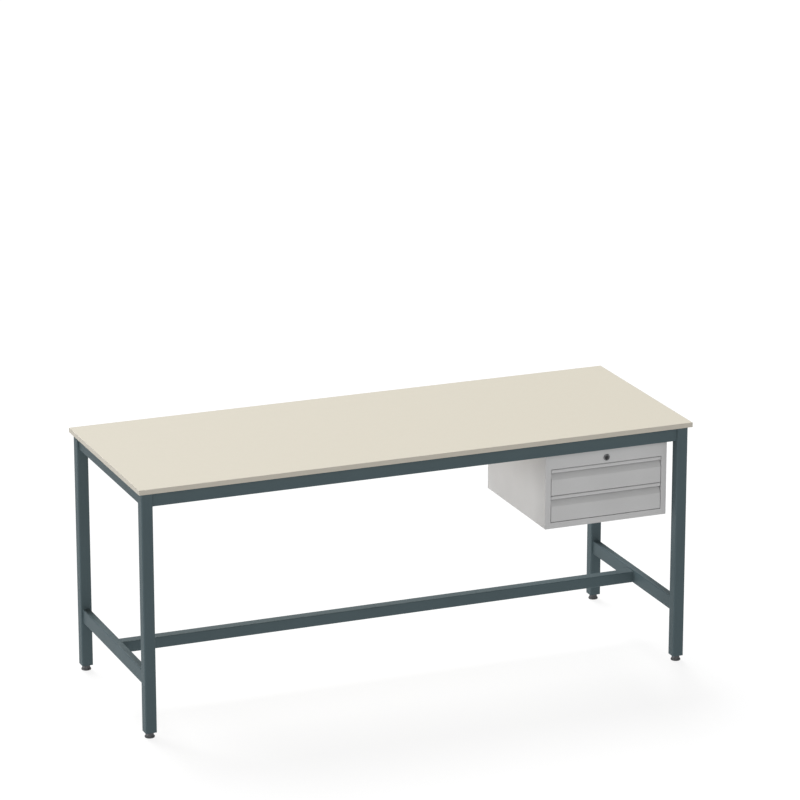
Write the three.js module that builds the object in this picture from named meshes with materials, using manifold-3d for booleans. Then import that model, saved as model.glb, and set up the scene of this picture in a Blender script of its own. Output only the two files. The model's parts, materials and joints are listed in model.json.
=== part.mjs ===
// Workbench with two drawers: a welded steel tube frame on levelling feet, a laminated worktop and a
// small steel drawer cabinet hung under the right-hand end of the top.
//
// Millimetres. +X runs along the bench to the right, +Y from its front to its back and +Z up. The
// origin is on the floor, under the middle of the worktop.

import * as THREE from 'three';
import { mergeVertices } from 'three/addons/utils/BufferGeometryUtils.js';
import loadManifold from 'manifold-3d';

const manifoldLibrary = await loadManifold();
manifoldLibrary.setup();
const { Manifold, Mesh: ManifoldMesh } = manifoldLibrary;

// ---- Driving dimensions ----------------------------------------------------------------------

const gap = 0.3; // left between two pieces that touch
const overshoot = 1; // how far a cutting tool starts outside the surface that it cuts
const weldTolerance = 1e-4; // corners closer than this are one corner
const quarterTurn = Math.PI / 2;
const arcSteps = 3; // curve resolution: an arc is drawn in twice as many straight steps
const roundSegments = 8 * arcSteps; // sides of a round part

const bench = { length: 2000, depth: 750, height: 873 };
const worktop = { thickness: 16.6, laminate: 0.6, edging: 1, endOverhang: 11, frontOverhang: 12 };
const leg = { size: 40, wall: 2, corner: 5 };
const rail = { height: 50, thickness: 25, wall: 1.5, corner: 4 };
const sideStretcher = { bottom: 178 };
const centreStretcher = { size: 40, wall: 1.5, corner: 4, centreZ: 202 };

const foot = {
  height: 20, floorRadius: 16.3, rimRadius: 17.2, rimBottom: 1.5, rimTop: 4.5, neckRadius: 13, boreFloor: 5,
};
const stud = { radius: 5, top: 62 };
const insert = { height: 25 };

const cabinet = { width: 456, depth: 493, bottom: 538, centreX: 698, sheet: 1.2, behindRail: 2.5 };
const drawer = { count: 2, width: 412, height: 92.6, gap: 2, openingBottom: 559 };
const front = { depth: 20, lip: 12, hem: 3 };
const shoulder = { foot: 55.6, rise: 28.4, depth: 18, halfTurn: Math.PI / 12, steps: 6 };
const tray = { width: 384, depth: 450, height: 70, rise: 9 };
const runner = { wall: 1.2, clearance: 1.8, fixedHeight: 44 };
const lock = {
  z: 770, plugRadius: 6.8, barrelRadius: 9.5, barrel: 12, collarRadius: 11.4, collar: 3, chamfer: 0.8,
  nutRadius: 14, nutThickness: 4,
};
const keyway = { width: 1.6, height: 8, depth: 6 };
const cam = {
  length: 28, overhang: 2.5, width: 10, thickness: 2, slotSide: 22, slotEdge: 7, slotClearance: 1.6,
};
const screw = {
  shankRadius: 2, shank: 12, headRadius: 4.5, crownRadius: 3.15, head: 2.6, insetX: 60, insetY: 70,
};

// ---- Levels and planes worked out from them -----------------------------------------------------

const underside = bench.height - worktop.thickness;
const frameTop = underside - gap;
const legX = bench.length / 2 - worktop.endOverhang - leg.size / 2;
const legY = bench.depth / 2 - worktop.frontOverhang - leg.size / 2;
const legInnerX = legX - leg.size / 2;
const legInnerY = legY - leg.size / 2;
const cabinetFront = -legY + rail.thickness / 2 + cabinet.behindRail;
const cabinetBack = cabinetFront + cabinet.depth;
const cabinetMiddleY = (cabinetFront + cabinetBack) / 2;
const openingWidth = drawer.width + 2 * drawer.gap;
const openingHeight = drawer.count * (drawer.height + drawer.gap) + drawer.gap;
const trayFront = cabinetFront + front.depth + gap;

// ---- Materials ----------------------------------------------------------------------------------

function material(color, roughness, metalness) {
  return new THREE.MeshStandardMaterial({ color, roughness, metalness });
}

const framePaint = material('#54626a', 0.5, 0);
const cabinetPaint = material('#c9cacb', 0.45, 0);
const laminate = material('#e6dfcf', 0.55, 0);
const edging = material('#c9c1af', 0.5, 0);
const chipboard = material('#b89a6c', 0.85, 0);
const blackPlastic = material('#3a3c3e', 0.5, 0);
const zincSteel = material('#b4b7ba', 0.35, 1);
const chrome = material('#d5d7da', 0.12, 1);

// ---- Shapes ---------------------------------------------------------------------------------------

// A rectangle centred on the origin, with round corners where a radius is given.
function rectangle(width, height, radius = 0, path = new THREE.Shape()) {
  const x = width / 2;
  const y = height / 2;
  if (radius === 0) {
    path.moveTo(-x, -y).lineTo(x, -y).lineTo(x, y).lineTo(-x, y).lineTo(-x, -y);
    return path;
  }
  path.moveTo(-x + radius, -y).lineTo(x - radius, -y);
  path.absarc(x - radius, -y + radius, radius, -quarterTurn, 0);
  path.lineTo(x, y - radius).absarc(x - radius, y - radius, radius, 0, quarterTurn);
  path.lineTo(-x + radius, y).absarc(-x + radius, y - radius, radius, quarterTurn, 2 * quarterTurn);
  path.lineTo(-x, -y + radius).absarc(-x + radius, -y + radius, radius, 2 * quarterTurn, 3 * quarterTurn);
  return path;
}

// A circle drawn as four quarter arcs.
function circle(x, y, radius, path) {
  for (let quarter = 0; quarter < 4; quarter += 1) {
    path.absarc(x, y, radius, quarter * quarterTurn, (quarter + 1) * quarterTurn);
  }
  return path;
}

function roundHole(x, y, radius) {
  return circle(x, y, radius, new THREE.Path());
}

// An outline drawn on the local XY plane and pulled along local +Z.
function extrude(shape, depth) {
  return new THREE.ExtrudeGeometry(shape, { depth, curveSegments: arcSteps, bevelEnabled: false });
}

function polygon(points) {
  return new THREE.Shape(points.map(([x, y]) => new THREE.Vector2(x, y)));
}

function mesh(name, geometry, paint, x = 0, y = 0, z = 0) {
  const piece = new THREE.Mesh(geometry, paint);
  piece.name = name;
  piece.position.set(x, y, z);
  return piece;
}

// Turned so that local +Z points along +X, and local +X points down.
function alongX(piece) {
  piece.rotation.y = quarterTurn;
  return piece;
}

// Turned so that local +Z points along +Y, and local +Y points down.
function alongY(piece) {
  piece.rotation.x = -quarterTurn;
  return piece;
}

// Turned so that an outline drawn on the local XY plane stands up and faces the front of the bench.
function facingFront(piece) {
  piece.rotation.x = quarterTurn;
  return piece;
}

function toManifold(geometry) {
  const plain = geometry.clone();
  plain.deleteAttribute('normal');
  plain.deleteAttribute('uv');
  const welded = mergeVertices(plain, weldTolerance);
  return new Manifold(new ManifoldMesh({
    numProp: 3,
    vertProperties: new Float32Array(welded.attributes.position.array),
    triVerts: new Uint32Array(welded.index.array),
  }));
}

function fromManifold(solid) {
  const { vertProperties, triVerts } = solid.getMesh();
  const geometry = new THREE.BufferGeometry();
  geometry.setAttribute('position', new THREE.BufferAttribute(vertProperties, 3));
  geometry.setIndex(new THREE.BufferAttribute(triVerts, 1));
  const faceted = geometry.toNonIndexed();
  faceted.computeVertexNormals();
  return faceted;
}

function cut(geometry, tools) {
  const solids = tools.map(toManifold);
  return fromManifold(toManifold(geometry).subtract(Manifold.union(solids)));
}

function box(width, depth, height, x = 0, y = 0, z = 0) {
  return new THREE.BoxGeometry(width, depth, height).translate(x, y, z);
}

// A round solid or ring about local Z, from its profile of [radius, height] points.
function turned(profile) {
  const points = profile.map(([radius, height]) => new THREE.Vector2(radius, height));
  return new THREE.LatheGeometry(points, roundSegments).rotateX(quarterTurn);
}

function cylinder(radius, bottom, top, segments = roundSegments) {
  const height = top - bottom;
  return new THREE.CylinderGeometry(radius, radius, height, segments)
    .rotateX(quarterTurn)
    .translate(0, 0, bottom + height / 2);
}

// ---- Worktop --------------------------------------------------------------------------------------

function cabinetScrewPoints() {
  const points = [];
  for (const [end, sideX] of [['left', -1], ['right', 1]]) {
    for (const [side, sideY] of [['front', -1], ['back', 1]]) {
      const x = cabinet.centreX + sideX * (cabinet.width / 2 - screw.insetX);
      const y = cabinetMiddleY + sideY * (cabinet.depth / 2 - screw.insetY);
      points.push({ name: `${side}_${end}`, x, y });
    }
  }
  return points;
}

function buildWorktop() {
  const group = new THREE.Group();
  const boardLength = bench.length - 2 * (worktop.edging + gap);
  const boardDepth = bench.depth - 2 * (worktop.edging + gap);
  const boardThickness = worktop.thickness - worktop.laminate - gap;
  const holeRadius = screw.shankRadius + gap;
  const hole = cylinder(holeRadius, underside - overshoot, underside + screw.shank, roundSegments / 2);
  const holes = cabinetScrewPoints().map(({ x, y }) => hole.clone().translate(x, y, 0));
  const board = box(boardLength, boardDepth, boardThickness, 0, 0, underside + boardThickness / 2);
  group.add(mesh('worktop_board', cut(board, holes), chipboard));
  const laminateZ = bench.height - worktop.laminate / 2;
  const sheet = box(boardLength, boardDepth, worktop.laminate);
  group.add(mesh('worktop_laminate', sheet, laminate, 0, 0, laminateZ));
  const edgeZ = underside + worktop.thickness / 2;
  const longEdge = box(bench.length, worktop.edging, worktop.thickness);
  const shortEdge = box(worktop.edging, boardDepth, worktop.thickness);
  const edgeX = (bench.length - worktop.edging) / 2;
  const edgeY = (bench.depth - worktop.edging) / 2;
  group.add(mesh('front_edging', longEdge, edging, 0, -edgeY, edgeZ));
  group.add(mesh('back_edging', longEdge, edging, 0, edgeY, edgeZ));
  group.add(mesh('left_edging', shortEdge, edging, -edgeX, 0, edgeZ));
  group.add(mesh('right_edging', shortEdge, edging, edgeX, 0, edgeZ));
  return group;
}

// ---- Frame ----------------------------------------------------------------------------------------

function tubeSection(width, height, wall, corner) {
  const section = rectangle(width, height, corner);
  const inner = rectangle(width - 2 * wall, height - 2 * wall, corner - wall, new THREE.Path());
  section.holes.push(inner);
  return section;
}

function buildLegs() {
  const group = new THREE.Group();
  const section = tubeSection(leg.size, leg.size, leg.wall, leg.corner);
  for (const { name, x, y } of corners()) {
    group.add(mesh(`${name}_leg`, extrude(section, frameTop - foot.height), framePaint, x, y, foot.height));
  }
  return group;
}

function buildRails() {
  const group = new THREE.Group();
  const railZ = frameTop - rail.height / 2;
  const longLength = 2 * (legInnerX - gap);
  const shortLength = 2 * (legInnerY - gap);
  const lying = tubeSection(rail.height, rail.thickness, rail.wall, rail.corner);
  const standing = tubeSection(rail.thickness, rail.height, rail.wall, rail.corner);
  for (const [side, y] of [['front', -legY], ['back', legY]]) {
    const length = extrude(lying, longLength);
    group.add(alongX(mesh(`${side}_top_rail`, length, framePaint, -longLength / 2, y, railZ)));
  }
  const stretcherZ = sideStretcher.bottom + rail.height / 2;
  for (const [end, x] of [['left', -legX], ['right', legX]]) {
    const length = extrude(standing, shortLength);
    group.add(alongY(mesh(`${end}_top_rail`, length, framePaint, x, -shortLength / 2, railZ)));
    group.add(alongY(mesh(`${end}_stretcher`, length, framePaint, x, -shortLength / 2, stretcherZ)));
  }
  return group;
}

function buildCentreStretcher() {
  const { size, wall, corner, centreZ } = centreStretcher;
  const length = 2 * (legX - rail.thickness / 2 - gap);
  const section = tubeSection(size, size, wall, corner);
  return alongX(mesh('centre_stretcher', extrude(section, length), framePaint, -length / 2, 0, centreZ));
}

// ---- Levelling feet -------------------------------------------------------------------------------

function corners() {
  return [
    { name: 'front_left', x: -legX, y: -legY },
    { name: 'front_right', x: legX, y: -legY },
    { name: 'back_left', x: -legX, y: legY },
    { name: 'back_right', x: legX, y: legY },
  ];
}

// A dished foot: a low round rim under a neck that sweeps in to the foot of the leg, with a blind
// hole in it for the stud.
function footProfile() {
  const top = foot.height - gap;
  const sweepSteps = 6;
  const { floorRadius, rimRadius, rimBottom, rimTop, neckRadius, boreFloor } = foot;
  const points = [[0, 0], [floorRadius, 0], [rimRadius, rimBottom], [rimRadius, rimTop]];
  for (let step = 1; step <= sweepSteps; step += 1) {
    const angle = (step / sweepSteps) * quarterTurn;
    const radius = neckRadius + (rimRadius - neckRadius) * (1 - Math.sin(angle));
    points.push([radius, rimTop + (top - rimTop) * (1 - Math.cos(angle))]);
  }
  const boreRadius = stud.radius + gap;
  points.push([boreRadius, top], [boreRadius, boreFloor], [0, boreFloor]);
  return points;
}

function buildFeet() {
  const group = new THREE.Group();
  const innerSize = leg.size - 2 * (leg.wall + gap);
  const insertSection = rectangle(innerSize, innerSize, leg.corner - leg.wall - gap);
  insertSection.holes.push(roundHole(0, 0, stud.radius + gap));
  for (const { name, x, y } of corners()) {
    const plug = extrude(insertSection, insert.height);
    group.add(mesh(`${name}_leg_insert`, plug, blackPlastic, x, y, foot.height));
    group.add(mesh(`${name}_foot`, turned(footProfile()), blackPlastic, x, y, 0));
    const shank = cylinder(stud.radius, foot.boreFloor + gap, stud.top);
    group.add(mesh(`${name}_foot_stud`, shank, zincSteel, x, y, 0));
  }
  return group;
}

// ---- Drawer cabinet -------------------------------------------------------------------------------

// Sides and bottom folded from one sheet.
function shellSection(height) {
  const outer = cabinet.width / 2;
  const inner = outer - cabinet.sheet;
  return polygon([
    [-outer, 0], [outer, 0], [outer, height], [inner, height],
    [inner, cabinet.sheet], [-inner, cabinet.sheet], [-inner, height], [-outer, height],
  ]);
}

function fasciaOutline(height) {
  const outline = polygon([
    [-cabinet.width / 2, 0], [cabinet.width / 2, 0],
    [cabinet.width / 2, height], [-cabinet.width / 2, height],
  ]);
  const low = drawer.openingBottom - cabinet.bottom;
  const side = openingWidth / 2;
  const high = low + openingHeight;
  outline.holes.push(polygon([[-side, low], [side, low], [side, high], [-side, high]]));
  outline.holes.push(roundHole(0, lock.z - cabinet.bottom, lock.barrelRadius + gap));
  return outline;
}

function buildCabinetCase() {
  const group = new THREE.Group();
  const { width, depth, sheet, bottom, centreX } = cabinet;
  const height = frameTop - bottom;
  const wallHeight = height - sheet - gap;
  const shellDepth = depth - 2 * (sheet + gap);
  const shell = extrude(shellSection(wallHeight), shellDepth);
  group.add(facingFront(mesh('cabinet_shell', shell, cabinetPaint, centreX, cabinetBack - sheet - gap, bottom)));
  const fascia = extrude(fasciaOutline(wallHeight), sheet);
  group.add(facingFront(mesh('cabinet_fascia', fascia, cabinetPaint, centreX, cabinetFront + sheet, bottom)));
  const backZ = bottom + wallHeight / 2;
  const back = box(width, sheet, wallHeight);
  group.add(mesh('cabinet_back', back, cabinetPaint, centreX, cabinetBack - sheet / 2, backZ));
  const lid = rectangle(width, depth);
  for (const { x, y } of cabinetScrewPoints()) {
    lid.holes.push(roundHole(x - centreX, y - cabinetMiddleY, screw.shankRadius + gap));
  }
  group.add(mesh('cabinet_top', extrude(lid, sheet), cabinetPaint, centreX, cabinetMiddleY, frameTop - sheet));
  return group;
}

// Pan-head screws, put in from inside the cabinet and up into the worktop.
function buildCabinetScrews() {
  const group = new THREE.Group();
  const { shankRadius, shank, headRadius, crownRadius, head } = screw;
  const seat = frameTop - cabinet.sheet - gap;
  const tip = underside + shank - gap - seat;
  const profile = [
    [0, -head], [crownRadius, -head], [headRadius, -head / 2], [headRadius, 0],
    [shankRadius, 0], [shankRadius, tip - shankRadius], [0, tip],
  ];
  for (const { name, x, y } of cabinetScrewPoints()) {
    group.add(mesh(`${name}_cabinet_screw`, turned(profile), zincSteel, x, y, seat));
  }
  return group;
}

// ---- Drawers --------------------------------------------------------------------------------------

// The face of a drawer front leans back above its flat part in a shoulder, an arc from the face to the
// wall behind the finger pull. Points are [distance behind the face, height].
function shoulderArc() {
  const chord = Math.hypot(shoulder.depth, shoulder.rise);
  const radius = chord / (2 * Math.sin(shoulder.halfTurn));
  const firstLean = Math.atan2(shoulder.depth, shoulder.rise) - shoulder.halfTurn;
  const points = [];
  for (let step = 0; step <= shoulder.steps; step += 1) {
    const lean = firstLean + (2 * shoulder.halfTurn * step) / shoulder.steps;
    points.push([
      radius * (Math.cos(firstLean) - Math.cos(lean)),
      shoulder.foot + radius * (Math.sin(lean) - Math.sin(firstLean)),
    ]);
  }
  return points;
}

// A drawer front's sheet from its lower flange up the face and shoulder, up the wall behind the finger
// pull, forwards over the top and down inside the lip to its hem.
function frontPath() {
  const { sheet } = cabinet;
  const lipBottom = drawer.height - front.lip + sheet;
  const under = drawer.height - sheet;
  return [
    [front.depth, 0], [0, 0], ...shoulderArc(), [shoulder.depth, under], [sheet, under],
    [sheet, lipBottom], [sheet + front.hem, lipBottom],
  ];
}

// Closed outline of a folded sheet: one face follows the path, and the thickness lies to its right.
function foldedOutline(path, thickness) {
  const points = path.map(([x, y]) => new THREE.Vector2(x, y));
  const rightOf = (from, to) => new THREE.Vector2(to.y - from.y, from.x - to.x).normalize();
  const inner = points.map((point, index) => {
    const before = points[Math.max(index - 1, 0)];
    const after = points[Math.min(index + 1, points.length - 1)];
    const into = index === 0 ? rightOf(point, after) : rightOf(before, point);
    const outOf = index === points.length - 1 ? into : rightOf(point, after);
    const mitre = into.clone().add(outOf).multiplyScalar(thickness / (1 + into.dot(outOf)));
    return point.clone().add(mitre);
  });
  return new THREE.Shape([...points, ...inner.reverse()]);
}

// The flat plate that closes one end of a drawer front, below and behind the shoulder.
function frontEndOutline() {
  return polygon([
    [front.depth, 0], [0, 0], ...shoulderArc(), [shoulder.depth, drawer.height - cabinet.sheet],
    [front.depth, drawer.height - cabinet.sheet],
  ]);
}

// An outline of [distance behind the face, height] points pulled across the bench, from x for a width.
function acrossBench(outline, x, width) {
  return extrude(outline, width).rotateX(quarterTurn).rotateZ(quarterTurn).translate(x, 0, 0);
}

function frontGeometry() {
  const { sheet } = cabinet;
  const left = -drawer.width / 2;
  const pieces = [
    acrossBench(foldedOutline(frontPath(), sheet), left, drawer.width),
    acrossBench(frontEndOutline(), left, sheet),
    acrossBench(frontEndOutline(), -left - sheet, sheet),
  ];
  const folded = Manifold.union(pieces.map(toManifold));
  const slotDepth = cam.thickness + 2 * cam.slotClearance;
  const slotY = camFront() + cam.thickness / 2 - cabinetFront;
  const slotWidth = cam.slotSide + cam.slotEdge;
  const slotHeight = 2 * (sheet + overshoot);
  const slot = box(slotWidth, slotDepth, slotHeight, cam.slotSide - slotWidth / 2, slotY, drawer.height);
  return fromManifold(folded.subtract(toManifold(slot)));
}

function trayGeometry() {
  const { sheet } = cabinet;
  const { width, depth, height } = tray;
  const outside = box(width, depth, height, 0, depth / 2, height / 2);
  const inside = box(width - 2 * sheet, depth - 2 * sheet, height, 0, depth / 2, height / 2 + sheet);
  return cut(outside, [inside]);
}

// The three members of a telescopic runner are channels that nest inside each other. The fixed one
// reaches from the cabinet wall, the middle one lies just inside the opening, and the inner one is
// fixed to the tray. Distances are from the middle of the cabinet.
function runnerMembers() {
  const wallX = cabinet.width / 2 - cabinet.sheet - gap;
  const trayX = tray.width / 2 + gap;
  const step = runner.wall + runner.clearance;
  const middleX = openingWidth / 2 - drawer.gap;
  return {
    fixed: { web: wallX, edge: trayX + 2 * step, height: runner.fixedHeight },
    middle: { web: middleX, edge: trayX + step, height: runner.fixedHeight - 2 * step },
    inner: { web: trayX, edge: middleX - step, height: runner.fixedHeight - 4 * step },
  };
}

// A channel from its web plane to the edge of its flanges, drawn on XZ for the side that is asked.
function channelOutline({ web, edge, height }, side) {
  const into = Math.sign(edge - web);
  const webInside = web + into * runner.wall;
  const outer = height / 2;
  const inner = outer - runner.wall;
  const points = [
    [web, -outer], [edge, -outer], [edge, -inner], [webInside, -inner],
    [webInside, inner], [edge, inner], [edge, outer], [web, outer],
  ];
  return polygon(points.map(([x, z]) => [side * x, z]));
}

function buildDrawer(name, bottom) {
  const group = new THREE.Group();
  group.add(mesh(`${name}_drawer_front`, frontGeometry(), cabinetPaint, cabinet.centreX, cabinetFront, bottom));
  const trayBottom = bottom + tray.rise;
  group.add(mesh(`${name}_drawer_tray`, trayGeometry(), cabinetPaint, cabinet.centreX, trayFront, trayBottom));
  const runnerZ = trayBottom + tray.height / 2;
  for (const [hand, side] of [['left', -1], ['right', 1]]) {
    for (const [member, section] of Object.entries(runnerMembers())) {
      const channel = extrude(channelOutline(section, side), tray.depth);
      const memberName = `${name}_${hand}_${member}_runner`;
      const back = trayFront + tray.depth;
      group.add(facingFront(mesh(memberName, channel, zincSteel, cabinet.centreX, back, runnerZ)));
    }
  }
  return group;
}

function buildDrawers() {
  const group = new THREE.Group();
  ['lower', 'upper'].slice(0, drawer.count).forEach((name, index) => {
    const bottom = drawer.openingBottom + drawer.gap + index * (drawer.height + drawer.gap);
    group.add(buildDrawer(name, bottom));
  });
  return group;
}

// ---- Lock -----------------------------------------------------------------------------------------

// Front plane of the cam, behind the lock barrel. The cam swings down through a slot in the top of
// the upper drawer front.
function camFront() {
  return cabinetFront + lock.barrel + gap;
}

// Lathe profiles of the lock run backwards from its face, so each is turned to point along +Y.
function lockPiece(name, geometry, paint) {
  return alongY(mesh(name, geometry, paint, cabinet.centreX, cabinetFront, lock.z));
}

function buildLock() {
  const group = new THREE.Group();
  const { plugRadius, barrelRadius, collarRadius, collar, chamfer, barrel, nutRadius, nutThickness } = lock;
  const bore = plugRadius + gap;
  const housing = turned([
    [bore, -collar], [bore, barrel], [barrelRadius, barrel], [barrelRadius, -gap], [collarRadius, -gap],
    [collarRadius, -collar + chamfer], [collarRadius - chamfer, -collar], [bore, -collar],
  ].reverse());
  group.add(lockPiece('lock_housing', housing, chrome));
  const keySlot = box(keyway.width, keyway.height, 2 * keyway.depth, 0, 0, -collar);
  const plug = cut(cylinder(plugRadius, -collar + chamfer, barrel), [keySlot]);
  group.add(lockPiece('lock_plug', plug, blackPlastic));
  const nutSection = circle(0, 0, nutRadius, new THREE.Shape());
  nutSection.holes.push(roundHole(0, 0, barrelRadius + gap));
  const nut = extrude(nutSection, nutThickness).translate(0, 0, cabinet.sheet + gap);
  group.add(lockPiece('lock_nut', nut, zincSteel));
  const camPlate = box(cam.length + 2 * cam.overhang, cam.width, cam.thickness, cam.length / 2, 0, 0);
  camPlate.translate(0, 0, camFront() - cabinetFront + cam.thickness / 2);
  group.add(lockPiece('lock_cam', camPlate, zincSteel));
  return group;
}

// ---- The whole bench --------------------------------------------------------------------------------

const workbench = new THREE.Group();
workbench.add(buildWorktop(), buildLegs(), buildRails(), buildCentreStretcher(), buildFeet());
workbench.add(buildCabinetCase(), buildCabinetScrews(), buildDrawers(), buildLock());

export default workbench;
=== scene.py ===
import json
import math

import bmesh
import bpy
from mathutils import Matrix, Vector


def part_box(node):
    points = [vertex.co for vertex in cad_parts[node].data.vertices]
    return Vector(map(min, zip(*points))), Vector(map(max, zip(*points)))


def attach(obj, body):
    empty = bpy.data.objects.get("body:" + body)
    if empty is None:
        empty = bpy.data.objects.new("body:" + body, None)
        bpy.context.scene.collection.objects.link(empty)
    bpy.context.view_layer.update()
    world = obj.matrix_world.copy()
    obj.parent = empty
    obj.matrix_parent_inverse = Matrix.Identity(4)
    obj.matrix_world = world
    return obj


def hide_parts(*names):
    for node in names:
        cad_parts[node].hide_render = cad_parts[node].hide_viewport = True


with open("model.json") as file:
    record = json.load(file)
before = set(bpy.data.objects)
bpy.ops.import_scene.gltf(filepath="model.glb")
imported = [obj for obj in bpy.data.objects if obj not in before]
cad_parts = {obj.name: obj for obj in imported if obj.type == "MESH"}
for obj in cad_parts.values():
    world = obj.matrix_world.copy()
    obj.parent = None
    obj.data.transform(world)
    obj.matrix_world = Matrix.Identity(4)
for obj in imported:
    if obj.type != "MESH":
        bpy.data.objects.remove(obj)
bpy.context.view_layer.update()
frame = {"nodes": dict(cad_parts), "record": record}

# ---- Driving sizes, in metres --------------------------------------------------------------------

MM = 0.001
JOINT_GAP = 0.3 * MM
TUBE_WALL = 2 * MM
LEG_CORNER = 5 * MM
RAIL_WALL = 1.5 * MM
RAIL_CORNER = 4 * MM
SHEET = 1.2 * MM
SHEET_BEND = 1.4 * MM
LIP = 12 * MM
LIP_HEM = 3 * MM
SHOULDER_FOOT = 55.6 * MM
SHOULDER_RISE = 28.4 * MM
SHOULDER_DEPTH = 18 * MM
SHOULDER_HALF_TURN = math.radians(15)
WELD_RADIUS = 1.0 * MM
WELD_RIPPLE_PITCH = 2.2 * MM
# How far the ripple takes the bead in and out, as a share of its radius.
WELD_RIPPLE = 0.09
WELD_SECTION_STEPS = 6
ROUND_POINTS = 48
SHARP_ANGLE = math.radians(38)
BEVEL_ANGLE = math.radians(40)
# Turned solids stop this far from their axis, where a flat face closes them.
AXIS_HOLE = 0.4 * MM
# Keeps a division from meeting zero.
TINY = 1e-6

X, Y, Z = 0, 1, 2
SECTION_AXES = {X: (Y, Z), Y: (X, Z), Z: (X, Y)}

# The camera looks at AIM from this far away and at this angle.
AIM = Vector((0.0684, 0, 0.9548))
CAMERA_AZIMUTH = math.radians(-22.16)
CAMERA_ELEVATION = math.radians(16.84)
CAMERA_DISTANCE = 13.663
CAMERA_LENS = 179.6
SENSOR_WIDTH = 36
VIEW_REACH = 200

FLOOR_REACH = 60
FLOOR_GREYS = (0.145, 0.155)
FLOOR_GLOW = 0.87
WORLD_LIGHT = 0.12
# Each sun: the direction that it shines from, its energy and its spread in degrees.
SUNS = {
    "key": ((-0.05, 0.75, 0.9), 4.45, 40),
    "side_fill": ((-1, 0, 0.05), 1.25, 8),
    "front_fill": ((-0.1, -1, 0.5), 0.85, 40),
}


# ---- Node materials ------------------------------------------------------------------------------

class Nodes:
    """A material's node tree, with short calls for the nodes that the finishes share."""

    def __init__(self, name, roughness, metallic=0.0):
        self.material = bpy.data.materials.new(name)
        self.material.use_nodes = True
        self.tree = self.material.node_tree
        self.shader = self.tree.nodes["Principled BSDF"]
        self.shader.inputs["Roughness"].default_value = roughness
        self.shader.inputs["Metallic"].default_value = metallic
        self.place = self.tree.nodes.new("ShaderNodeTexCoord").outputs["Object"]

    def stretched(self, scale):
        mapping = self.tree.nodes.new("ShaderNodeMapping")
        mapping.inputs["Scale"].default_value = scale
        self.tree.links.new(self.place, mapping.inputs["Vector"])
        return mapping.outputs["Vector"]

    def noise(self, scale, detail=3.0, place=None):
        node = self.tree.nodes.new("ShaderNodeTexNoise")
        node.inputs["Scale"].default_value = scale
        node.inputs["Detail"].default_value = detail
        self.tree.links.new(place or self.place, node.inputs["Vector"])
        return node.outputs["Fac"]

    def cells(self, scale, place=None):
        node = self.tree.nodes.new("ShaderNodeTexVoronoi")
        node.inputs["Scale"].default_value = scale
        self.tree.links.new(place or self.place, node.inputs["Vector"])
        return node.outputs

    def ramp(self, factor, stops):
        node = self.tree.nodes.new("ShaderNodeValToRGB")
        ramp = node.color_ramp
        while len(ramp.elements) < len(stops):
            ramp.elements.new(0.5)
        for element, (position, colour) in zip(ramp.elements, stops):
            element.position = position
            element.color = (*colour, 1)
        self.tree.links.new(factor, node.inputs["Fac"])
        return node.outputs["Color"]

    def mottled(self, factor, colour, dark, light):
        """The colour, drifting between a darker and a lighter multiple of itself."""
        self.colour(self.ramp(factor, [(0.3, shade(colour, dark)), (0.7, shade(colour, light))]))

    def spread(self, factor, low, high):
        node = self.tree.nodes.new("ShaderNodeMapRange")
        node.inputs["To Min"].default_value = low
        node.inputs["To Max"].default_value = high
        self.tree.links.new(factor, node.inputs["Value"])
        return node.outputs["Result"]

    def colour(self, output):
        self.tree.links.new(output, self.shader.inputs["Base Color"])

    def roughness(self, output):
        self.tree.links.new(output, self.shader.inputs["Roughness"])

    def bump(self, height, strength, distance):
        node = self.tree.nodes.new("ShaderNodeBump")
        node.inputs["Strength"].default_value = strength
        node.inputs["Distance"].default_value = distance
        self.tree.links.new(height, node.inputs["Height"])
        if self.shader.inputs["Normal"].is_linked:
            previous = self.shader.inputs["Normal"].links[0].from_socket
            self.tree.links.new(previous, node.inputs["Normal"])
        self.tree.links.new(node.outputs["Normal"], self.shader.inputs["Normal"])


def shade(colour, factor):
    return tuple(min(1.0, channel * factor) for channel in colour)


def powder_coat(name, colour, roughness):
    """Satin powder coat: faint orange peel, a finer sparkle of texture and slight tone drift."""
    nodes = Nodes(name, roughness)
    nodes.mottled(nodes.noise(6, 2), colour, 0.97, 1.03)
    nodes.roughness(nodes.spread(nodes.noise(350), roughness - 0.05, roughness + 0.05))
    nodes.bump(nodes.noise(420, 2), 0.12, 0.2 * MM)
    nodes.bump(nodes.noise(2200, 1), 0.06, 0.1 * MM)
    nodes.shader.inputs["Specular IOR Level"].default_value = 0.1
    return nodes.material


def laminate_finish(name, colour, roughness):
    """Matt laminate: a fine pearled surface with a barely visible fleck."""
    nodes = Nodes(name, roughness)
    fleck = nodes.noise(900, 2)
    nodes.colour(nodes.ramp(fleck, [(0.35, shade(colour, 0.975)), (0.65, shade(colour, 1.015))]))
    nodes.roughness(nodes.spread(nodes.noise(60, 2), roughness - 0.04, roughness + 0.06))
    nodes.bump(nodes.cells(1400)["Distance"], 0.08, 0.1 * MM)
    nodes.shader.inputs["Specular IOR Level"].default_value = 0.35
    return nodes.material


def chipboard_finish():
    """Raw chipboard: pressed flakes of mixed tone."""
    nodes = Nodes("raw_chipboard", 0.85)
    flakes = nodes.cells(260, nodes.stretched((1, 1.6, 1)))
    tones = [(0.0, (0.28, 0.20, 0.12)), (0.45, (0.46, 0.36, 0.24)), (1.0, (0.62, 0.52, 0.38))]
    nodes.colour(nodes.ramp(nodes.spread(flakes["Color"], 0, 1), tones))
    nodes.bump(flakes["Distance"], 0.3, 0.3 * MM)
    nodes.bump(nodes.noise(900), 0.2, 0.2 * MM)
    return nodes.material


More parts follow.
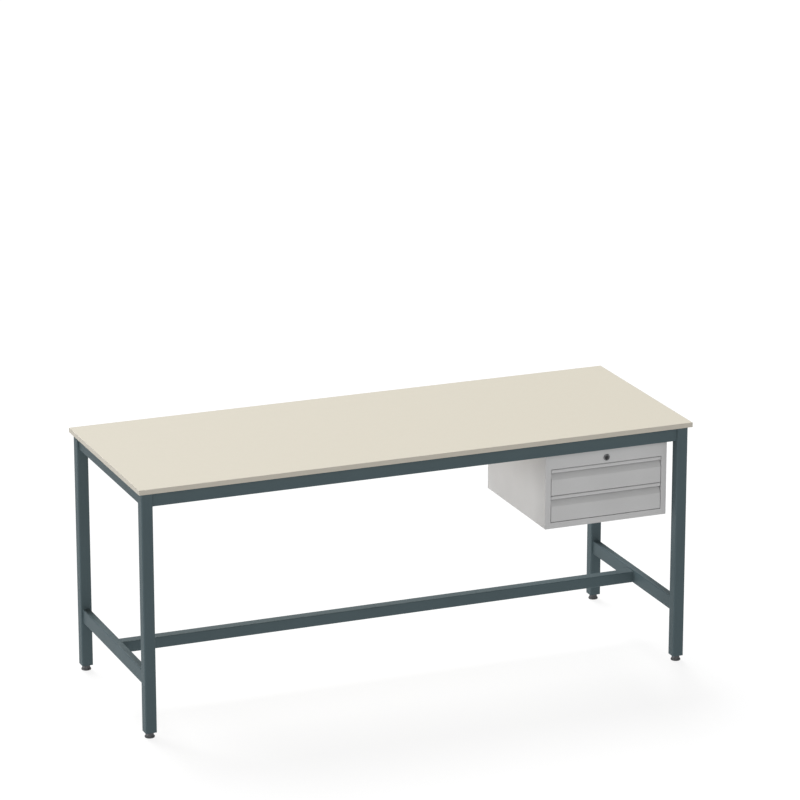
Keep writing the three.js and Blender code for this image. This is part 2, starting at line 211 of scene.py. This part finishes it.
def moulded_plastic(name, colour):
    """Moulded plastic: fine spark-eroded grain and slightly worn sheen."""
    nodes = Nodes(name, 0.5)
    nodes.mottled(nodes.noise(80), colour, 0.9, 1.12)
    nodes.roughness(nodes.spread(nodes.noise(200), 0.42, 0.6))
    nodes.bump(nodes.noise(2600, 2), 0.15, 0.1 * MM)
    return nodes.material


def plated_steel(name, colour, roughness, grain):
    """Plated steel: rolled grain along the length, with cloudy patches in the plating."""
    nodes = Nodes(name, roughness, metallic=1.0)
    nodes.mottled(nodes.noise(40), colour, 0.9, 1.06)
    streaks = nodes.noise(grain, 4, nodes.stretched((1, 0.03, 1)))
    nodes.roughness(nodes.spread(streaks, roughness - 0.06, roughness + 0.1))
    nodes.bump(streaks, 0.06, 0.05 * MM)
    return nodes.material


FRAME_PAINT = powder_coat("slate_powder_coat", (0.070, 0.099, 0.109), 0.5)
CABINET_PAINT = powder_coat("light_grey_powder_coat", (0.50, 0.50, 0.50), 0.42)
LAMINATE = laminate_finish("beige_laminate", (0.515, 0.480, 0.397), 0.55)
EDGING = laminate_finish("beige_edging", (0.485, 0.452, 0.387), 0.5)
CHIPBOARD = chipboard_finish()
PLASTIC = moulded_plastic("charcoal_plastic", (0.068, 0.071, 0.075))
LOCK_BLACK = moulded_plastic("lock_black", (0.018, 0.018, 0.02))
ZINC = plated_steel("bright_zinc", (0.72, 0.73, 0.75), 0.3, 900)
# The lock's chrome is set dark, well below real chrome, as a painted reflection of dark surroundings.
CHROME_WITH_PAINTED_DARK_REFLECTION = plated_steel("lock_chrome", (0.16, 0.162, 0.168), 0.2, 1600)


# ---- Outlines: closed lists of (u, v) points -----------------------------------------------------

def arc(centre, radius, start, end, steps):
    """Points along an arc, its angles in degrees, both ends included."""
    points = []
    for step in range(steps + 1):
        angle = math.radians(start + (end - start) * step / steps)
        points.append((centre[0] + radius * math.cos(angle), centre[1] + radius * math.sin(angle)))
    return points


def rounded_rectangle(low, high, radius, steps=6):
    corners = [
        ((high[0] - radius, high[1] - radius), 0),
        ((low[0] + radius, high[1] - radius), 90),
        ((low[0] + radius, low[1] + radius), 180),
        ((high[0] - radius, low[1] + radius), 270),
    ]
    points = []
    for centre, start in corners:
        points += arc(centre, radius, start, start + 90, steps)
    return points


def ring(radius, points=ROUND_POINTS):
    return arc((0, 0), radius, 0, 360 - 360 / points, points - 1)


def softened(path, bend, steps=4):
    """The path with each inner corner turned into a bend that starts this far from the corner."""
    points = [path[0]]
    for before, corner, after in zip(path, path[1:], path[2:]):
        into = (Vector(before) - Vector(corner)).normalized() * bend
        out_of = (Vector(after) - Vector(corner)).normalized() * bend
        for step in range(steps + 1):
            t = step / steps
            offset = into * (1 - t) ** 2 + out_of * t ** 2
            points.append((corner[0] + offset[0], corner[1] + offset[1]))
    points.append(path[-1])
    return points


def shifted_right(path, distance):
    """The path moved to its right-hand side by this distance."""
    moved = []
    for index, point in enumerate(path):
        before = Vector(path[max(index - 1, 0)])
        after = Vector(path[min(index + 1, len(path) - 1)])
        direction = (after - before).normalized()
        moved.append((point[0] + direction[1] * distance, point[1] - direction[0] * distance))
    return moved


def sheet_outline(path, thickness):
    """Closed outline of a sheet whose one face follows the path; its thickness lies to the right."""
    return path + shifted_right(path, thickness)[::-1]


# ---- Solids: (vertices, faces) -------------------------------------------------------------------

def in_space(outline, axis, place, centre=(0, 0, 0)):
    """The outline set square to an axis at that place along it, and shifted by centre."""
    u_axis, v_axis = SECTION_AXES[axis]
    loop = []
    for u, v in outline:
        point = Vector(centre)
        point[u_axis] += u
        point[v_axis] += v
        point[axis] += place
        loop.append(point)
    return loop


def loft(loops, closed=False):
    """Skin over loops of equal length, capped at both ends or closed from the last to the first."""
    count = len(loops[0])
    vertices = [point for loop in loops for point in loop]
    faces = []
    pairs = [(index, index + 1) for index in range(len(loops) - 1)]
    if closed:
        pairs.append((len(loops) - 1, 0))
    for low, high in pairs:
        for index in range(count):
            following = (index + 1) % count
            faces.append((
                low * count + index, low * count + following,
                high * count + following, high * count + index,
            ))
    if not closed:
        faces.append(tuple(range(count)))
        faces.append(tuple((len(loops) - 1) * count + index for index in range(count)))
    return vertices, faces


def prism(outline, axis, start, end, centre=(0, 0, 0)):
    return loft([in_space(outline, axis, start, centre), in_space(outline, axis, end, centre)])


def turned(profile, axis, centre, closed=False):
    """A round solid from (radius, place along the axis) points."""
    return loft([in_space(ring(radius), axis, place, centre) for radius, place in profile], closed)


def tube(low, high, axis, corner, wall):
    """A rounded hollow section that fills the box from low to high."""
    u_axis, v_axis = SECTION_AXES[axis]
    outer = rounded_rectangle((low[u_axis], low[v_axis]), (high[u_axis], high[v_axis]), corner)
    inner = rounded_rectangle(
        (low[u_axis] + wall, low[v_axis] + wall), (high[u_axis] - wall, high[v_axis] - wall), corner - wall)
    start, end = low[axis], high[axis]
    return loft([
        in_space(outer, axis, start), in_space(outer, axis, end),
        in_space(inner, axis, end), in_space(inner, axis, start),
    ], closed=True)


# ---- Pieces --------------------------------------------------------------------------------------

def node_body(node):
    for body, nodes in frame["record"]["behaviour"]["bodies"].items():
        if node in nodes:
            return body
    raise ValueError(node)


def finish_edges(piece, bevel):
    """Small round edges, and normals that keep the large faces looking flat."""
    if bevel:
        rounding = piece.modifiers.new("edge_rounding", "BEVEL")
        rounding.width = bevel
        rounding.segments = 2
        rounding.limit_method = "ANGLE"
        rounding.angle_limit = BEVEL_ANGLE
    normals = piece.modifiers.new("face_normals", "WEIGHTED_NORMAL")
    normals.keep_sharp = True


def build(name, solids, material, node, bevel=0.0, stands_for=True):
    """One piece out of several solids, its hard corners marked sharp. It rides with the CAD node's
    body, and by default it replaces the node.
    """
    mesh = bpy.data.meshes.new(name)
    bm = bmesh.new()
    for vertices, faces in solids:
        corners = [bm.verts.new(vertex) for vertex in vertices]
        for face in faces:
            bm.faces.new([corners[index] for index in face]).smooth = True
    bmesh.ops.recalc_face_normals(bm, faces=bm.faces)
    bm.to_mesh(mesh)
    bm.free()
    mesh.materials.append(material)
    piece = bpy.data.objects.new(name, mesh)
    bpy.context.scene.collection.objects.link(piece)
    mesh.set_sharp_from_angle(angle=SHARP_ANGLE)
    finish_edges(piece, bevel)
    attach(piece, node_body(node))
    if stands_for:
        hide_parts(node)
    return piece


def paint(node, material):
    """A CAD node that keeps its own shape gets its finish."""
    materials = frame["nodes"][node].data.materials
    materials.clear()
    materials.append(material)


def middle(node):
    low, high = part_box(node)
    return (Vector(low) + Vector(high)) / 2


# ---- Worktop -------------------------------------------------------------------------------------

def build_edging():
    """Four strips of edge band whose two outer long edges are rounded."""
    bend = 0.9 * MM
    for node, axis, outward in [
        ("front_edging", X, -1), ("back_edging", X, 1), ("left_edging", Y, -1), ("right_edging", Y, 1),
    ]:
        low, high = (Vector(corner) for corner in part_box(node))
        across = Y if axis == X else X
        inner = high[across] if outward < 0 else low[across]
        outer = low[across] if outward < 0 else high[across]
        path = softened([(inner, low[Z]), (outer, low[Z]), (outer, high[Z]), (inner, high[Z])], bend)
        build(f"{node}_strip", [prism(path, axis, low[axis], high[axis])], EDGING, node)


def build_laminate():
    """The laminate sheet, wide enough to take up most of the joint between it and the edge band."""
    low, high = (Vector(corner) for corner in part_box("worktop_laminate"))
    reach = JOINT_GAP * 0.8
    start = (low.x - reach, low.y - reach)
    end = (high.x + reach, high.y + reach)
    sheet = rounded_rectangle(start, end, radius=0.5 * MM, steps=3)
    solid = prism(sheet, Z, low.z, high.z)
    build("laminate_sheet", [solid], LAMINATE, "worktop_laminate", bevel=0.1 * MM)


# ---- Frame ---------------------------------------------------------------------------------------

def build_tubes():
    legs = ["front_left_leg", "front_right_leg", "back_left_leg", "back_right_leg"]
    along_x = ["front_top_rail", "back_top_rail", "centre_stretcher"]
    along_y = ["left_top_rail", "right_top_rail", "left_stretcher", "right_stretcher"]
    for axis, nodes, corner, wall in [
        (Z, legs, LEG_CORNER, TUBE_WALL),
        (X, along_x, RAIL_CORNER, RAIL_WALL),
        (Y, along_y, RAIL_CORNER, RAIL_WALL),
    ]:
        for node in nodes:
            low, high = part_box(node)
            build(f"{node}_tube", [tube(low, high, axis, corner, wall)], FRAME_PAINT, node)


def subdivided(path, spacing):
    """The closed path with points added along it, about this far apart."""
    points = []
    for (u0, v0), (u1, v1) in zip(path, path[1:] + path[:1]):
        steps = max(1, round(math.dist((u0, v0), (u1, v1)) / spacing))
        points += [(u0 + (u1 - u0) * k / steps, v0 + (v1 - v0) * k / steps) for k in range(steps)]
    return points


def away_from(centre, point, before, after):
    """The direction square to a path at one of its points, on the side away from the centre."""
    along = Vector((after[0] - before[0], after[1] - before[1])).normalized()
    outward = Vector((along.y, -along.x))
    if outward.dot(Vector((point[0] - centre[0], point[1] - centre[1]))) < 0:
        outward = -outward
    return outward


def weld_section(axis, point, outward, radius, place, into):
    """A quarter round that fills the corner between a tube and the piece that it meets."""
    u_axis, v_axis = SECTION_AXES[axis]
    section = []
    for across, along in arc((0, 0), radius, 0, 90, WELD_SECTION_STEPS) + [(0, 0)]:
        corner = Vector((0, 0, 0))
        corner[u_axis] = point[0] + outward.x * across
        corner[v_axis] = point[1] + outward.y * across
        corner[axis] = place - into * along
        section.append(corner)
    return section


def weld_bead(low, high, axis, place, into):
    """A rippled fillet of weld round a tube's end, hugging the piece that the tube meets."""
    u_axis, v_axis = SECTION_AXES[axis]
    outline = rounded_rectangle((low[u_axis], low[v_axis]), (high[u_axis], high[v_axis]), RAIL_CORNER)
    path = subdivided(outline, WELD_RIPPLE_PITCH / 4)
    centre = ((low[u_axis] + high[u_axis]) / 2, (low[v_axis] + high[v_axis]) / 2)
    loops = []
    travelled = 0.0
    for index, point in enumerate(path):
        before = path[index - 1]
        after = path[(index + 1) % len(path)]
        travelled += math.dist(before, point)
        ripple = math.cos(2 * math.pi * travelled / WELD_RIPPLE_PITCH)
        radius = WELD_RADIUS * (1 + WELD_RIPPLE * ripple)
        outward = away_from(centre, point, before, after)
        loops.append(weld_section(axis, point, outward, radius, place, into))
    return loft(loops, closed=True)


def build_welds():
    """A bead at each end of each rail and stretcher."""
    for node, axis in [
        ("front_top_rail", X), ("back_top_rail", X), ("left_top_rail", Y), ("right_top_rail", Y),
        ("left_stretcher", Y), ("right_stretcher", Y), ("centre_stretcher", X),
    ]:
        low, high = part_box(node)
        reach = JOINT_GAP * 0.9
        beads = [
            weld_bead(low, high, axis, low[axis] - reach, -1),
            weld_bead(low, high, axis, high[axis] + reach, 1),
        ]
        build(f"{node}_welds", beads, FRAME_PAINT, node, stands_for=False)


# ---- Levelling feet ------------------------------------------------------------------------------

def foot_profile(node):
    """Outside of the foot from its hollow underside up, and down its bore, as (radius, height)."""
    low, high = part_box(node)
    rim = (high[0] - low[0]) / 2
    top = high[2]
    neck, floor_radius, rim_top = 13 * MM, 16.3 * MM, 4.5 * MM
    neck_edge = 0.5 * MM
    bore, bore_floor = 5.3 * MM, 5 * MM
    hollow, hollow_radius = 0.6 * MM, floor_radius - 4 * MM
    sweep_steps = 16
    profile = [(AXIS_HOLE, hollow), (hollow_radius, hollow), (hollow_radius + hollow, 0)]
    profile += [(floor_radius, 0), (rim - 0.3 * MM, 0.7 * MM), (rim, 1.5 * MM), (rim, rim_top - 0.8 * MM)]
    for step in range(sweep_steps + 1):
        angle = math.radians(90 * step / sweep_steps)
        radius = neck + (rim - neck) * (1 - math.sin(angle))
        profile.append((radius, rim_top + (top - rim_top) * (1 - math.cos(angle))))
    profile += [(neck - neck_edge, top), (bore, top), (bore, bore_floor), (AXIS_HOLE, bore_floor)]
    return profile


def stud_profile(low, high):
    """Thread crests and roots at M10 pitch, between a plain foot and a chamfered tip."""
    crest, root, pitch = 5 * MM, 4.2 * MM, 1.5 * MM
    root_start, root_end = pitch * 0.45, pitch * 0.55
    chamfer = 1 * MM
    profile = [(AXIS_HOLE, low), (crest, low)]
    height = low + pitch
    while height < high - 2 * pitch:
        profile += [(crest, height), (root, height + root_start), (root, height + root_end)]
        height += pitch
    return profile + [(crest, height), (crest - chamfer, high), (AXIS_HOLE, high)]


def build_feet():
    for corner in ["front_left", "front_right", "back_left", "back_right"]:
        foot = f"{corner}_foot"
        centre = Vector((middle(foot).x, middle(foot).y, 0))
        build(f"{foot}_moulding", [turned(foot_profile(foot), Z, centre)], PLASTIC, foot, bevel=0.3 * MM)
        stud = f"{corner}_foot_stud"
        low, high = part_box(stud)
        build(f"{stud}_threaded", [turned(stud_profile(low[2], high[2]), Z, centre)], ZINC, stud)
        paint(f"{corner}_leg_insert", PLASTIC)


# ---- Drawer cabinet ------------------------------------------------------------------------------

def build_shell():
    """Sides and bottom bent from one sheet, with rounded bends."""
    low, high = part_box("cabinet_shell")
    path = [(high[0], high[2]), (high[0], low[2]), (low[0], low[2]), (low[0], high[2])]
    outline = sheet_outline(softened(path, SHEET_BEND), SHEET)
    solid = prism(outline, Y, low[1], high[1])
    build("cabinet_wrap", [solid], CABINET_PAINT, "cabinet_shell", bevel=0.2 * MM)


def round_the_axis(radius_at):
    """A closed outline with as many points as a ring, from a function of the angle."""
    outline = []
    for index in range(ROUND_POINTS):
        angle = 2 * math.pi * index / ROUND_POINTS
        radius = radius_at(angle)
        outline.append((radius * math.cos(angle), radius * math.sin(angle)))
    return outline


def slot_radius(angle, half_width, half_height):
    """Distance from the middle of a rectangle to its edge, at that angle."""
    across = half_width / max(abs(math.cos(angle)), TINY)
    along = half_height / max(abs(math.sin(angle)), TINY)
    return min(across, along)


def cross_recess(reach, half_width):
    """A cross of four arms."""
    def radius_at(angle):
        folded = (angle + math.pi / 4) % (math.pi / 2) - math.pi / 4
        return slot_radius(folded, reach, half_width)

    return round_the_axis(radius_at)


def build_cabinet_screws():
    """Pan heads with a cross recess, seen from inside the cabinet."""
    head_height, recess_depth = 2.6 * MM, 1.6 * MM
    shank, tip = 2 * MM, 0.3 * MM
    # The rounding of the head, as (share of its radius, distance behind its crown).
    crown = [(0.68, 0), (0.86, 0.4 * MM), (0.97, 1.2 * MM), (1, 2 * MM), (1, head_height)]
    for corner in ["front_left", "front_right", "back_left", "back_right"]:
        node = f"{corner}_cabinet_screw"
        low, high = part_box(node)
        centre = (middle(node).x, middle(node).y, 0)
        head = (high[0] - low[0]) / 2
        rings = [(head * share, low[2] + behind) for share, behind in crown]
        rings += [(shank, low[2] + head_height), (shank, high[2] - shank), (tip, high[2])]
        loops = [
            in_space(cross_recess(1.0 * MM, 0.3 * MM), Z, low[2] + recess_depth, centre),
            in_space(cross_recess(2.4 * MM, 0.5 * MM), Z, low[2], centre),
        ]
        loops += [in_space(ring(radius), Z, height, centre) for radius, height in rings]
        build(f"{node}_pan_head", [loft(loops)], ZINC, node)


def shoulder(face, bottom):
    """The arc in which a drawer face leans back, from crease to the wall behind the finger pull."""
    steps = 8
    radius = math.hypot(SHOULDER_DEPTH, SHOULDER_RISE) / (2 * math.sin(SHOULDER_HALF_TURN))
    first_lean = math.atan2(SHOULDER_DEPTH, SHOULDER_RISE) - SHOULDER_HALF_TURN
    points = []
    for step in range(steps + 1):
        lean = first_lean + 2 * SHOULDER_HALF_TURN * step / steps
        points.append((
            face + radius * (math.cos(first_lean) - math.cos(lean)),
            bottom + SHOULDER_FOOT + radius * (math.sin(lean) - math.sin(first_lean)),
        ))
    return points


def build_drawer_front(node):
    """One folded sheet: lower flange, face, shoulder, back wall, top and lip. Plates close its ends."""
    (left, face, bottom), (right, back, top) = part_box(node)
    under = top - SHEET
    lip_bottom = top - LIP + SHEET
    body = [(back, bottom), (face, bottom)] + shoulder(face, bottom) + [(face + SHOULDER_DEPTH, under)]
    over = [(face + SHEET, under), (face + SHEET, lip_bottom), (face + SHEET + LIP_HEM, lip_bottom)]
    skin = sheet_outline(softened(body + over, SHEET_BEND), SHEET)
    folded = build(f"{node}_folded", [prism(skin, X, left, right)], CABINET_PAINT, node)
    cut_keeper_slot(folded, top)
    plate_gap, inset = 0.05 * MM, 0.1 * MM
    plate = shifted_right(softened(body, SHEET_BEND), SHEET + plate_gap)
    plates = [
        prism(plate, X, left + inset, left + inset + SHEET),
        prism(plate, X, right - inset - SHEET, right - inset),
    ]
    build(f"{node}_end_plates", plates, CABINET_PAINT, node, stands_for=False)


def block(name, low, high):
    """A plain box that fills the space from low to high."""
    mesh = bpy.data.meshes.new(name)
    bm = bmesh.new()
    bmesh.ops.create_cube(bm, size=1)
    bmesh.ops.scale(bm, vec=high - low, verts=bm.verts)
    bmesh.ops.translate(bm, vec=(low + high) / 2, verts=bm.verts)
    bm.to_mesh(mesh)
    bm.free()
    box = bpy.data.objects.new(name, mesh)
    bpy.context.scene.collection.objects.link(box)
    return box


def cut_keeper_slot(front, top):
    """The slot in the top of a drawer front that the lock's cam swings down through."""
    cam_low, cam_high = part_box("lock_cam")
    clearance, slot_edge, slot_side = 1.6 * MM, 7 * MM, 22 * MM
    centre = middle("lock_plug").x
    low = Vector((centre - slot_edge, cam_low[1] - clearance, top - 2 * SHEET))
    high = Vector((centre + slot_side, cam_high[1] + clearance, top + 2 * SHEET))
    cutter = block("slot_cutter", low, high)
    cut = front.modifiers.new("keeper_slot", "BOOLEAN")
    cut.object = cutter
    cut.solver = "EXACT"
    front.modifiers.move(len(front.modifiers) - 1, 0)
    bpy.context.view_layer.update()
    evaluated = front.evaluated_get(bpy.context.evaluated_depsgraph_get())
    finished = bpy.data.meshes.new_from_object(evaluated)
    front.modifiers.clear()
    front.data = finished
    bpy.data.objects.remove(cutter)


def build_drawer(drawer):
    build_drawer_front(f"{drawer}_drawer_front")
    build_tray(f"{drawer}_drawer_tray")
    for hand in ["left", "right"]:
        for member in ["fixed", "middle", "inner"]:
            build_runner(f"{drawer}_{hand}_{member}_runner", hand, member)


def build_tray(node):
    """Sides and bottom bent from one sheet with a hem along the top edges, and flanged end walls."""
    low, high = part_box(node)
    hem = 2.2 * SHEET
    drop = 7 * MM
    foot = 9 * MM
    body_bend, wall_bend = 1.2 * MM, 0.8 * MM
    path = [
        (high[0] - hem, high[2] - drop), (high[0] - hem, high[2]), (high[0], high[2]), (high[0], low[2]),
        (low[0], low[2]), (low[0], high[2]), (low[0] + hem, high[2]), (low[0] + hem, high[2] - drop),
    ]
    body = prism(sheet_outline(softened(path, body_bend), SHEET), Y, low[1], high[1])
    inset = SHEET + 0.2 * MM
    inside = (low[0] + hem + SHEET / 2, high[0] - hem - SHEET / 2)
    walls = []
    for wall, into in [(low[1], 1), (high[1], -1)]:
        end = [
            (wall + into * foot, low[2] + inset), (wall, low[2] + inset), (wall, high[2]),
            (wall + into * hem, high[2]), (wall + into * hem, high[2] - drop),
        ]
        outline = sheet_outline(softened(end, wall_bend), SHEET * into)
        walls.append(prism(outline, X, inside[0], inside[1]))
    build(f"{node}_folded", [body] + walls, CABINET_PAINT, node)


def build_runner(node, hand, member):
    """A rolled channel with round bends. Its flanges point into the cabinet, and those of the inner
    member point outwards.
    """
    low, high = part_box(node)
    side = -1 if hand == "left" else 1
    flip = -1 if member == "inner" else 1
    web = high[0] if side * flip > 0 else low[0]
    edge = low[0] if side * flip > 0 else high[0]
    path = [(edge, high[2]), (web, high[2]), (web, low[2]), (edge, low[2])]
    outline = sheet_outline(softened(path, SHEET_BEND), SHEET * side * flip)
    build(f"{node}_channel", [prism(outline, Y, low[1], high[1])], ZINC, node, bevel=0.15 * MM)


def rectangle_outside(low, high, margin):
    """The rectangle in front view that lies this far outside the corners low and high."""
    left, right = low.x - margin, high.x + margin
    bottom, top = low.z - margin, high.z + margin
    return [(left, bottom), (right, bottom), (right, top), (left, top)]


def build_fascia_returns():
    """The fascia's sheet turned back round the drawer opening."""
    gap = 2 * MM
    depth = 9.5 * MM
    low = Vector(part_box("lower_drawer_front")[0])
    high = Vector(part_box("upper_drawer_front")[1])
    inner = rectangle_outside(low, high, gap)
    outer = rectangle_outside(low, high, gap + SHEET)
    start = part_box("cabinet_fascia")[1][1]
    loops = [
        in_space(outer, Y, start), in_space(outer, Y, start + depth),
        in_space(inner, Y, start + depth), in_space(inner, Y, start),
    ]
    solid = loft(loops, closed=True)
    build("fascia_returns", [solid], CABINET_PAINT, "cabinet_fascia", stands_for=False)


def build_cabinet():
    build_shell()
    build_fascia_returns()
    for node in ["cabinet_fascia", "cabinet_back", "cabinet_top"]:
        paint(node, CABINET_PAINT)
    build_cabinet_screws()
    for drawer in ["lower", "upper"]:
        build_drawer(drawer)


# ---- Lock ----------------------------------------------------------------------------------------

def build_lock():
    low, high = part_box("lock_housing")
    front, back = low[1], high[1]
    centre = middle("lock_housing")
    axis_at = Vector((centre.x, 0, centre.z))
    collar = (high[0] - low[0]) / 2
    bore, barrel = 7.1 * MM, 9.5 * MM
    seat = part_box("cabinet_fascia")[0][1] - JOINT_GAP
    # As (radius, place): the rounded mouth of the bore, the rounded edge of the collar, the barrel.
    profile = [
        (bore, front + 1.1 * MM), (bore + 0.5 * MM, front + 0.5 * MM), (bore + 1.3 * MM, front),
        (collar - 1.2 * MM, front), (collar - 0.4 * MM, front + 0.4 * MM), (collar, front + 1.2 * MM),
        (collar, seat), (barrel, seat), (barrel, back), (bore, back),
    ]
    # The ring takes the darkened chrome, whose colour is a painted dark reflection.
    build("lock_housing_ring", [turned(profile, Y, axis_at, closed=True)], CHROME_WITH_PAINTED_DARK_REFLECTION, "lock_housing")
    build_plug(axis_at)
    paint("lock_nut", ZINC)
    paint("lock_cam", ZINC)


def build_plug(axis_at):
    """The key plug: a round face with a keyway let into it."""
    low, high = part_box("lock_plug")
    radius = (high[0] - low[0]) / 2
    face = low[1]
    half_width, half_height, depth = 0.8 * MM, 4 * MM, 5 * MM
    chamfer = 0.5 * MM
    keyway = round_the_axis(lambda angle: slot_radius(angle, half_width, half_height))
    loops = [in_space(keyway, Y, face + depth, axis_at), in_space(keyway, Y, face, axis_at)]
    for ring_radius, place in [(radius - chamfer, face), (radius, face + chamfer), (radius, high[1])]:
        loops.append(in_space(ring(ring_radius), Y, place, axis_at))
    build("lock_plug_face", [loft(loops)], LOCK_BLACK, "lock_plug")


# ---- Floor, light and camera ---------------------------------------------------------------------

def build_floor():
    """A pale studio floor that glows softly, so that shadows on it stay faint."""
    mesh = bpy.data.meshes.new("floor")
    near, far = -FLOOR_REACH, FLOOR_REACH
    corners = [(near, near, 0), (far, near, 0), (far, far, 0), (near, far, 0)]
    mesh.from_pydata(corners, [], [(0, 1, 2, 3)])
    floor = bpy.data.objects.new("floor", mesh)
    bpy.context.scene.collection.objects.link(floor)
    nodes = Nodes("pale_floor", 0.9)
    dark, light = FLOOR_GREYS
    nodes.colour(nodes.ramp(nodes.noise(0.6), [(0.3, (dark,) * 3), (0.7, (light,) * 3)]))
    nodes.shader.inputs["Specular IOR Level"].default_value = 0
    nodes.shader.inputs["Emission Color"].default_value = (1, 1, 1, 1)
    nodes.shader.inputs["Emission Strength"].default_value = FLOOR_GLOW
    mesh.materials.append(nodes.material)


def add_sun(name, towards, energy, spread):
    """A distant light that shines from that direction."""
    light = bpy.data.lights.new(name, "SUN")
    light.energy = energy
    light.angle = math.radians(spread)
    lamp = bpy.data.objects.new(name, light)
    lamp.rotation_euler = Vector(towards).to_track_quat("Z", "Y").to_euler()
    bpy.context.scene.collection.objects.link(lamp)


def build_lights():
    """A dim even surround, a broad key light from above and behind, a low narrow fill from the
    left and a low broad fill from the front.
    """
    world = bpy.data.worlds.new("studio")
    world.use_nodes = True
    background = world.node_tree.nodes["Background"]
    background.inputs["Color"].default_value = (1, 1, 1, 1)
    background.inputs["Strength"].default_value = WORLD_LIGHT
    bpy.context.scene.world = world
    for name, (towards, energy, spread) in SUNS.items():
        add_sun(name, towards, energy, spread)
    bpy.context.scene.view_settings.view_transform = "Standard"


def build_camera():
    camera = bpy.data.objects.new("camera", bpy.data.cameras.new("camera"))
    camera.data.lens = CAMERA_LENS
    camera.data.sensor_width = SENSOR_WIDTH
    camera.data.clip_end = VIEW_REACH
    back = Vector((
        math.sin(CAMERA_AZIMUTH) * math.cos(CAMERA_ELEVATION),
        -math.cos(CAMERA_AZIMUTH) * math.cos(CAMERA_ELEVATION),
        math.sin(CAMERA_ELEVATION),
    ))
    camera.location = AIM + back * CAMERA_DISTANCE
    camera.rotation_euler = back.to_track_quat("Z", "Y").to_euler()
    bpy.context.scene.collection.objects.link(camera)
    bpy.context.scene.camera = camera


# ---- The scene -----------------------------------------------------------------------------------

paint("worktop_board", CHIPBOARD)
build_laminate()
build_edging()
build_tubes()
build_welds()
build_feet()
build_cabinet()
build_lock()
build_floor()
build_lights()
build_camera()

bpy.context.view_layer.update()
